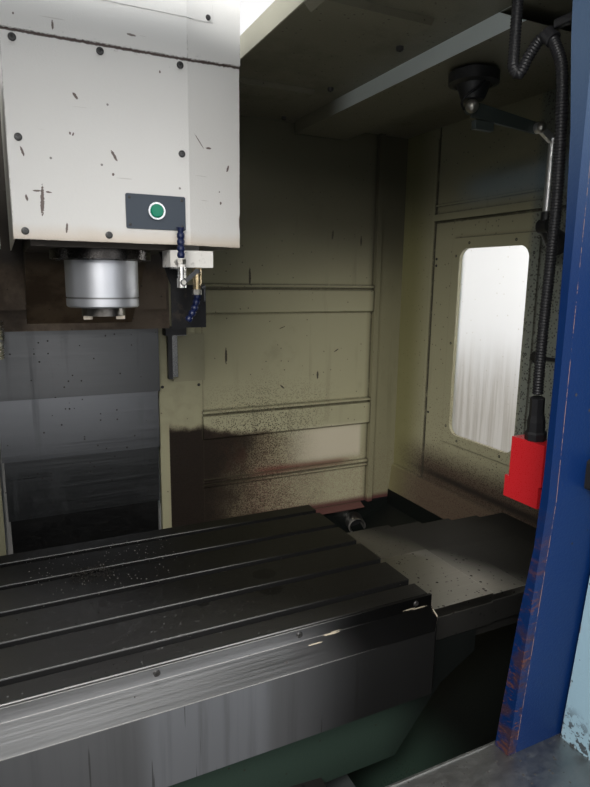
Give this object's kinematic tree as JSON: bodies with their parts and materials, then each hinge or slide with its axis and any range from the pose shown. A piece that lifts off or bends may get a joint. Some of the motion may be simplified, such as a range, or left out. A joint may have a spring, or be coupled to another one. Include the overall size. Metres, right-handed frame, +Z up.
{
  "type": "cnc machining center",
  "caption": "Vertical machining centre with a T-slot table on telescopic-covered ways, a spindle head, sliding doors, a tool changer and an enclosed work zone.",
  "frame": {"origin": "centre of the overall footprint, on the floor under the levelling feet", "axes": "+X to the operator's right, +Y from the front of the machine to its back, +Z up along the spindle axis"},
  "size_m": [2.4, 2.4, 2.62],
  "materials": {
    "bed_paint": "semi-gloss grey-green machine paint",
    "machine_paint": "semi-gloss off-white machine paint",
    "interior_paint": "olive-beige sheet paint, stained",
    "pale_blue_paint": "pale blue textured sheet paint",
    "door_blue_paint": "strong blue paint, worn at the edges",
    "pan_paint": "greenish paint under coolant film",
    "stainless": "brushed stainless sheet with coolant marks",
    "ground_steel": "ground bright steel",
    "sill_steel": "dull scuffed steel",
    "table_iron": "machined cast iron with bright edges",
    "motor_black": "matte black",
    "dark_steel": "dark grey enamel",
    "rubber_black": "corrugated black rubber",
    "red_plastic": "red moulded plastic",
    "green_plastic": "green moulded plastic",
    "blue_plastic": "blue moulded plastic",
    "panel_grey": "mid grey plastic",
    "clear_pane": "clear laminated pane",
    "arm_grey": "grey-green enamel"
  },
  "bodies": {
    "machine": {"base_casting": "bed_paint", "levelling_feet": "dark_steel", "column": "machine_paint", "machine_rails": "ground_steel", "axis_motors": "motor_black", "side_walls": "interior_paint", "window_panes": "clear_pane", "rear_walls": "interior_paint", "roof": "interior_paint", "front_frame": "pale_blue_paint", "front_sill": "sill_steel", "chip_pan": "pan_paint", "electrical_cabinet": "pale_blue_paint", "control_panel": "panel_grey", "interlock_switch": "red_plastic", "conduit": "rubber_black", "lamp_base": "dark_steel", "magazine_frame": "machine_paint", "fixed_cover_plates": "stainless", "limit_switch": "dark_steel"},
    "saddle": {"saddle": "bed_paint", "x_rails": "ground_steel", "saddle_cover_plates": "stainless"},
    "table": {"table": "table_iron", "table_apron": "stainless", "x_cover_1": "stainless"},
    "head": {"head_casting": "machine_paint", "head_cover": "machine_paint", "spindle_motor": "motor_black", "spindle_housing": "ground_steel", "z_cover_1": "stainless", "coolant_fittings": "machine_paint", "coolant_nozzles": "blue_plastic", "button_plate": "dark_steel"},
    "right_door": {"right_door": "door_blue_paint", "right_door_window": "clear_pane"},
    "left_door": {"left_door": "door_blue_paint", "left_door_window": "clear_pane"},
    "cabinet_door": {"cabinet_door": "pale_blue_paint"},
    "chip_drawer": {"chip_drawer": "sill_steel"},
    "emergency_button": {"emergency_button": "red_plastic"},
    "lamp_arm": {"lamp_arm": "arm_grey"},
    "lamp_tube": {"lamp_tube": "ground_steel"},
    "lamp_head": {"lamp_head": "motor_black"},
    "magazine_disc": {"magazine_disc": "dark_steel"},
    "change_arm": {"change_arm": "ground_steel"},
    "x_cover_2": {"x_cover_2": "stainless"},
    "x_cover_3": {"x_cover_3": "stainless"},
    "x_cover_4": {"x_cover_4": "stainless"},
    "y_cover_2": {"y_cover_2": "stainless"},
    "y_cover_3": {"y_cover_3": "stainless"},
    "z_cover_2": {"z_cover_2": "stainless"},
    "z_cover_3": {"z_cover_3": "stainless"},
    "x_screw": {"x_screw": "ground_steel"},
    "y_screw": {"y_screw": "ground_steel"},
    "z_screw": {"z_screw": "ground_steel"},
    "spindle_rotor": {"spindle_rotor": "ground_steel"},
    "upper_valve_lever": {"upper_valve_lever": "dark_steel"},
    "lower_valve_lever": {"lower_valve_lever": "dark_steel"},
    "push_button": {"push_button": "green_plastic"}
  },
  "joints": [
    {"name": "y_axis", "type": "slide", "parent": "machine", "child": "saddle", "axis": [0, 1, 0], "range_m": [0, 0.5]},
    {"name": "x_axis", "type": "slide", "parent": "saddle", "child": "table", "axis": [1, 0, 0], "range_m": [-0.4, 0.4]},
    {"name": "z_axis", "type": "slide", "parent": "machine", "child": "head", "axis": [0, 0, 1], "range_m": [-0.4, 0.1]},
    {"name": "x_cover_2_slide", "type": "slide", "parent": "saddle", "child": "x_cover_2", "axis": [1, 0, 0], "range_m": [-0.305, 0.305]},
    {"name": "x_cover_3_slide", "type": "slide", "parent": "saddle", "child": "x_cover_3", "axis": [1, 0, 0], "range_m": [-0.205, 0.205]},
    {"name": "x_cover_4_slide", "type": "slide", "parent": "saddle", "child": "x_cover_4", "axis": [1, 0, 0], "range_m": [-0.105, 0.105]},
    {"name": "y_cover_2_slide", "type": "slide", "parent": "machine", "child": "y_cover_2", "axis": [0, 1, 0], "range_m": [-0.005, 0.34]},
    {"name": "y_cover_3_slide", "type": "slide", "parent": "machine", "child": "y_cover_3", "axis": [0, 1, 0], "range_m": [-0.005, 0.172]},
    {"name": "z_cover_2_slide", "type": "slide", "parent": "machine", "child": "z_cover_2", "axis": [0, 0, 1], "range_m": [-0.272, 0.072]},
    {"name": "z_cover_3_slide", "type": "slide", "parent": "machine", "child": "z_cover_3", "axis": [0, 0, 1], "range_m": [-0.138, 0.038]},
    {"name": "x_screw_turn", "type": "hinge", "parent": "saddle", "child": "x_screw", "pos_m": [0, -0.556, 0.736], "axis": [1, 0, 0], "range_deg": [-7260, 7260]},
    {"name": "y_screw_turn", "type": "hinge", "parent": "machine", "child": "y_screw", "pos_m": [0, -0.3, 0.418], "axis": [0, 1, 0], "range_deg": [-60, 9060]},
    {"name": "z_screw_turn", "type": "hinge", "parent": "machine", "child": "z_screw", "pos_m": [0, 0.265, 1.7], "axis": [0, 0, 1], "range_deg": [-7260, 1860]},
    {"name": "spindle", "type": "hinge", "parent": "head", "child": "spindle_rotor", "pos_m": [0, -0.3, 1.405], "axis": [0, 0, 1], "continuous": true},
    {"name": "push_button_press", "type": "slide", "parent": "head", "child": "push_button", "axis": [0, 1, 0], "range_m": [0, 0.004], "stiffness_N_per_m": 400},
    {"name": "upper_valve", "type": "hinge", "parent": "head", "child": "upper_valve_lever", "pos_m": [0.125, -0.472, 1.477], "axis": [0, -1, 0], "range_deg": [-10, 80]},
    {"name": "lower_valve", "type": "hinge", "parent": "head", "child": "lower_valve_lever", "pos_m": [0.177, -0.4, 1.467], "axis": [1, 0, 0], "range_deg": [0, 90]},
    {"name": "right_door_slide", "type": "slide", "parent": "machine", "child": "right_door", "axis": [-1, 0, 0], "range_m": [0, 0.438]},
    {"name": "left_door_slide", "type": "slide", "parent": "machine", "child": "left_door", "axis": [1, 0, 0], "range_m": [0, 0.438]},
    {"name": "lamp_swivel", "type": "hinge", "parent": "machine", "child": "lamp_arm", "pos_m": [0.799, -0.5, 1.875], "axis": [0, 0, 1], "range_deg": [-60, 60]},
    {"name": "lamp_elbow", "type": "hinge", "parent": "lamp_arm", "child": "lamp_tube", "pos_m": [1, -0.5, 1.853], "axis": [0, 1, 0], "range_deg": [0, 60]},
    {"name": "lamp_tilt", "type": "hinge", "parent": "lamp_tube", "child": "lamp_head", "pos_m": [1.049, -0.511, 1.626], "axis": [0, 1, 0], "range_deg": [0, 55]},
    {"name": "magazine_turn", "type": "hinge", "parent": "machine", "child": "magazine_disc", "pos_m": [-0.6, -0.3, 1.9], "axis": [1, 0, 0], "continuous": true},
    {"name": "change_arm_swing", "type": "hinge", "parent": "machine", "child": "change_arm", "pos_m": [-0.25, -0.3, 1.352], "axis": [0, 0, 1], "range_deg": [0, 90]},
    {"name": "emergency_press", "type": "slide", "parent": "machine", "child": "emergency_button", "axis": [0, 1, 0], "range_m": [0, 0.006], "stiffness_N_per_m": 900},
    {"name": "cabinet_door_hinge", "type": "hinge", "parent": "machine", "child": "cabinet_door", "pos_m": [-0.608, 1.1577, 0.9], "axis": [0, 0, 1], "range_deg": [0, 110]},
    {"name": "chip_drawer_pull", "type": "slide", "parent": "machine", "child": "chip_drawer", "axis": [0, -1, 0], "range_m": [0, 0.3]}
  ],
  "couplings": [
    {"joint": "x_cover_2_slide", "follows": "x_axis", "ratio": 0.75},
    {"joint": "x_cover_3_slide", "follows": "x_axis", "ratio": 0.5},
    {"joint": "x_cover_4_slide", "follows": "x_axis", "ratio": 0.25},
    {"joint": "y_cover_2_slide", "follows": "y_axis", "ratio": 0.66667},
    {"joint": "y_cover_3_slide", "follows": "y_axis", "ratio": 0.33333},
    {"joint": "z_cover_2_slide", "follows": "z_axis", "ratio": 0.66667},
    {"joint": "z_cover_3_slide", "follows": "z_axis", "ratio": 0.33333},
    {"joint": "x_screw_turn", "follows": "x_axis", "rad_per_m": 314.16},
    {"joint": "y_screw_turn", "follows": "y_axis", "rad_per_m": 314.16},
    {"joint": "z_screw_turn", "follows": "z_axis", "rad_per_m": 314.16}
  ]
}
